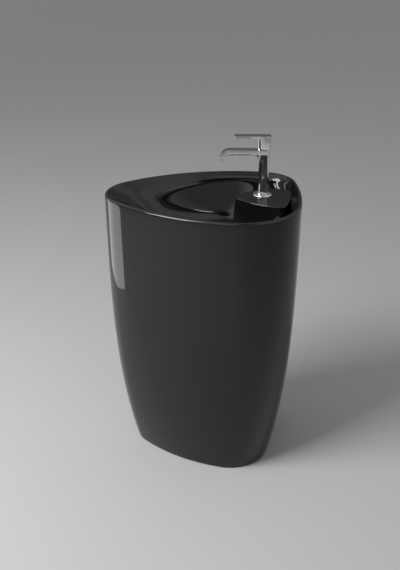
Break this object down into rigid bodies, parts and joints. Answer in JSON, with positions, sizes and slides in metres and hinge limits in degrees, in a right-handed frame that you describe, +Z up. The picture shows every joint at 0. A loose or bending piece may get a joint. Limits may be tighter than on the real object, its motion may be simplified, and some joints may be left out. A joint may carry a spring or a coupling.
{
  "type": "pedestal sink",
  "caption": "Free-standing black ceramic pedestal washbasin with a rounded triangular plan, a bowl round a raised tap deck, a chrome lever tap and a hollow column for the plumbing.",
  "frame": {"origin": "on the floor, at the middle of the rim's footprint", "axes": "+Z up; X along the spout, which points to -X; -Y faces the user and +Y is the side with the service opening"},
  "size_m": [0.5677, 0.4621, 1.0073],
  "materials": {
    "ceramic_black": "glossy black glaze",
    "chrome": "polished chrome plate on brass",
    "chrome_trap": "chrome plate on brass",
    "black_rubber": "moulded black rubber",
    "brass": "plain turned brass",
    "stainless_steel": "stainless steel",
    "zinc_steel": "zinc-plated pressed steel",
    "grey_plastic": "moulded dark grey",
    "dark_plastic": "glass-filled nylon",
    "cream_plastic": "moulded cream acetal",
    "white_plastic": "moulded white nylon",
    "black_ceramic_cover": "glossy black glaze",
    "plunger_metal": "turned brass",
    "copper": "drawn copper pipe",
    "red_plastic": "moulded red",
    "blue_plastic": "moulded blue",
    "black_plastic": "moulded black"
  },
  "bodies": {
    "root": {"basin": "ceramic_black", "tap_gasket": "black_rubber", "tap_base_plate": "chrome", "tap_body": "chrome", "aerator_insert": "grey_plastic", "tap_stud": "brass", "horseshoe_gasket": "black_rubber", "horseshoe_washer": "stainless_steel", "stud_nut": "brass", "cartridge": "cream_plastic", "cartridge_nut": "brass", "waste_flange_seal": "black_rubber", "waste_body": "chrome_trap", "waste_under_seal": "black_rubber", "waste_back_nut": "brass", "click_guide": "white_plastic", "click_spring": "stainless_steel", "trap_inlet_nut": "chrome_trap", "trap_inlet_washer": "black_rubber", "trap_inlet_pipe": "chrome_trap", "trap_body": "chrome_trap", "trap_cup": "chrome_trap", "trap_cup_seal": "black_rubber", "trap_outlet_nut": "chrome_trap", "trap_outlet_washer": "black_rubber", "waste_pipe": "chrome_trap", "hot_riser": "copper", "cold_riser": "copper", "hot_valve_body": "chrome_trap", "cold_valve_body": "chrome_trap", "valve_nuts": "brass", "hot_tail": "copper", "cold_tail": "copper", "floor_brackets": "zinc_steel", "bracket_sleeves": "white_plastic", "bracket_bolts": "stainless_steel", "bolt_caps": "black_plastic"},
    "swivel": {"lever_carrier": "dark_plastic", "lever_pin": "stainless_steel"},
    "lever": {"lever": "chrome"},
    "stem": {"cartridge_stem": "stainless_steel"},
    "waste_plug": {"waste_cover": "black_ceramic_cover", "cover_seal": "black_rubber", "click_plunger": "plunger_metal"},
    "hot_knob": {"hot_valve_knob": "red_plastic"},
    "cold_knob": {"cold_valve_knob": "blue_plastic"}
  },
  "joints": [
    {"name": "tap_swivel", "type": "hinge", "parent": "root", "child": "swivel", "pos_m": [0.1735, 0.035, 0.97], "axis": [0, 0, 1], "range_deg": [-45, 45]},
    {"name": "lever_lift", "type": "hinge", "parent": "swivel", "child": "lever", "pos_m": [0.1865, 0.035, 0.9725], "axis": [0, 1, 0], "range_deg": [0, 22]},
    {"name": "stem_lift", "type": "slide", "parent": "swivel", "child": "stem", "axis": [0, 0, 1], "range_m": [0, 0.006]},
    {"name": "waste_slide", "type": "slide", "parent": "root", "child": "waste_plug", "axis": [0, 0, 1], "range_m": [0, 0.009], "deforming": ["click_spring"]},
    {"name": "hot_valve_turn", "type": "hinge", "parent": "root", "child": "hot_knob", "pos_m": [0.075, 0.08, 0.17], "axis": [0, 1, 0], "range_deg": [0, 90]},
    {"name": "cold_valve_turn", "type": "hinge", "parent": "root", "child": "cold_knob", "pos_m": [0.175, 0.08, 0.17], "axis": [0, 1, 0], "range_deg": [0, 90]}
  ],
  "couplings": [
    {"joint": "stem_lift", "follows": "lever_lift", "m_per_rad": 0.015}
  ]
}
